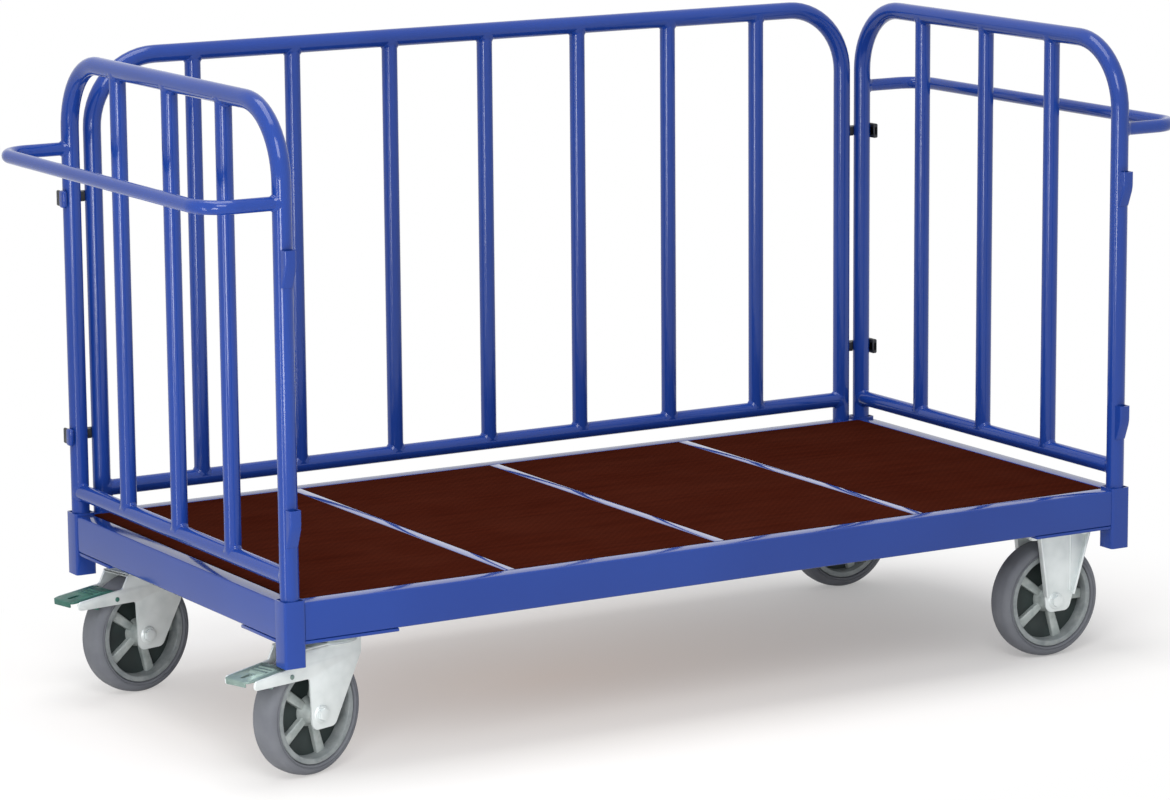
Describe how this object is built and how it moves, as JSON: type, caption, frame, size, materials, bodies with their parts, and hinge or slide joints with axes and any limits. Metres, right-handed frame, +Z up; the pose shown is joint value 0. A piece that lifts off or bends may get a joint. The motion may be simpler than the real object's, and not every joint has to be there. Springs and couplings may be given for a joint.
{
  "type": "platform trolley",
  "caption": "Platform trolley with a boarded deck, bent-tube end panels with push handles, a barred back panel, braked swivel casters and fixed casters.",
  "frame": {"origin": "on the floor under the middle of the frame", "axes": "+X towards the fixed casters, +Y towards the back panel, +Z up"},
  "size_m": [1.84, 0.818, 1.062],
  "materials": {
    "blue_paint": "glossy powder coat",
    "zinc": "bright zinc plate",
    "green_zinc": "dull grey-green plate",
    "alloy": "as cast",
    "grey_rubber": "matt",
    "black_plastic": "moulded",
    "film_ply": "film-faced plywood"
  },
  "bodies": {
    "base": {"front_beam": "blue_paint", "rear_beam": "blue_paint", "left_beam": "blue_paint", "right_beam": "blue_paint", "cross_member_1": "blue_paint", "cross_member_2": "blue_paint", "cross_member_3": "blue_paint", "deck_board_1": "film_ply", "deck_board_2": "film_ply", "deck_board_3": "film_ply", "deck_board_4": "film_ply", "left_front_socket": "blue_paint", "left_rear_socket": "blue_paint", "right_front_socket": "blue_paint", "right_rear_socket": "blue_paint", "left_front_caster_plate": "zinc", "left_rear_caster_plate": "zinc", "right_front_caster_bracket": "zinc", "right_rear_caster_bracket": "zinc"},
    "left_panel": {"left_hoop": "blue_paint", "left_lower_pocket": "blue_paint", "left_rail": "blue_paint", "left_bar_1": "blue_paint", "left_bar_2": "blue_paint", "left_bar_3": "blue_paint", "left_handle": "blue_paint"},
    "right_panel": {"right_hoop": "blue_paint", "right_lower_pocket": "blue_paint", "right_rail": "blue_paint", "right_bar_1": "blue_paint", "right_bar_2": "blue_paint", "right_bar_3": "blue_paint", "right_handle": "blue_paint"},
    "back_panel": {"back_hoop": "blue_paint", "back_rail": "blue_paint", "back_bar_1": "blue_paint", "back_bar_2": "blue_paint", "back_bar_3": "blue_paint", "back_bar_4": "blue_paint", "back_bar_5": "blue_paint", "back_bar_6": "blue_paint", "back_bar_7": "blue_paint", "left_upper_clip": "black_plastic", "left_lower_clip": "black_plastic", "right_upper_clip": "black_plastic", "right_lower_clip": "black_plastic"},
    "left_front_swivel": {"left_front_caster_fork": "zinc", "left_front_caster_axle": "zinc"},
    "left_front_pedal": {"left_front_caster_pedal": "green_zinc"},
    "left_front_wheel": {"left_front_caster_hub": "alloy", "left_front_caster_tyre": "grey_rubber"},
    "right_front_wheel": {"right_front_caster_hub": "alloy", "right_front_caster_tyre": "grey_rubber"},
    "left_rear_swivel": {"left_rear_caster_fork": "zinc", "left_rear_caster_axle": "zinc"},
    "left_rear_pedal": {"left_rear_caster_pedal": "green_zinc"},
    "left_rear_wheel": {"left_rear_caster_hub": "alloy", "left_rear_caster_tyre": "grey_rubber"},
    "right_rear_wheel": {"right_rear_caster_hub": "alloy", "right_rear_caster_tyre": "grey_rubber"}
  },
  "joints": [
    {"name": "left_panel_lift", "type": "slide", "parent": "base", "child": "left_panel", "axis": [0, 0, 1], "range_m": [0, 0.1]},
    {"name": "right_panel_lift", "type": "slide", "parent": "base", "child": "right_panel", "axis": [0, 0, 1], "range_m": [0, 0.1]},
    {"name": "back_panel_lift", "type": "slide", "parent": "base", "child": "back_panel", "axis": [0, 0, 1], "range_m": [0, 0.05]},
    {"name": "left_front_swivel_turn", "type": "hinge", "parent": "base", "child": "left_front_swivel", "pos_m": [-0.68, -0.306, 0.2], "axis": [0, 0, 1], "continuous": true},
    {"name": "left_front_wheel_spin", "type": "hinge", "parent": "left_front_swivel", "child": "left_front_wheel", "pos_m": [-0.7266, -0.32114, 0.1], "axis": [-0.309, 0.9511, 0], "continuous": true},
    {"name": "left_front_pedal_press", "type": "hinge", "parent": "left_front_swivel", "child": "left_front_pedal", "pos_m": [-0.78557, -0.3403, 0.17], "axis": [0.309, -0.9511, 0], "range_deg": [0, 12]},
    {"name": "left_rear_swivel_turn", "type": "hinge", "parent": "base", "child": "left_rear_swivel", "pos_m": [-0.68, 0.306, 0.2], "axis": [0, 0, 1], "continuous": true},
    {"name": "left_rear_wheel_spin", "type": "hinge", "parent": "left_rear_swivel", "child": "left_rear_wheel", "pos_m": [-0.72774, 0.29498, 0.1], "axis": [-0.225, 0.9744, 0], "continuous": true},
    {"name": "left_rear_pedal_press", "type": "hinge", "parent": "left_rear_swivel", "child": "left_rear_pedal", "pos_m": [-0.78816, 0.28103, 0.17], "axis": [0.225, -0.9744, 0], "range_deg": [0, 12]},
    {"name": "right_front_wheel_spin", "type": "hinge", "parent": "base", "child": "right_front_wheel", "pos_m": [0.688, -0.312, 0.1], "axis": [0, 1, 0], "continuous": true},
    {"name": "right_rear_wheel_spin", "type": "hinge", "parent": "base", "child": "right_rear_wheel", "pos_m": [0.688, 0.312, 0.1], "axis": [0, 1, 0], "continuous": true}
  ]
}
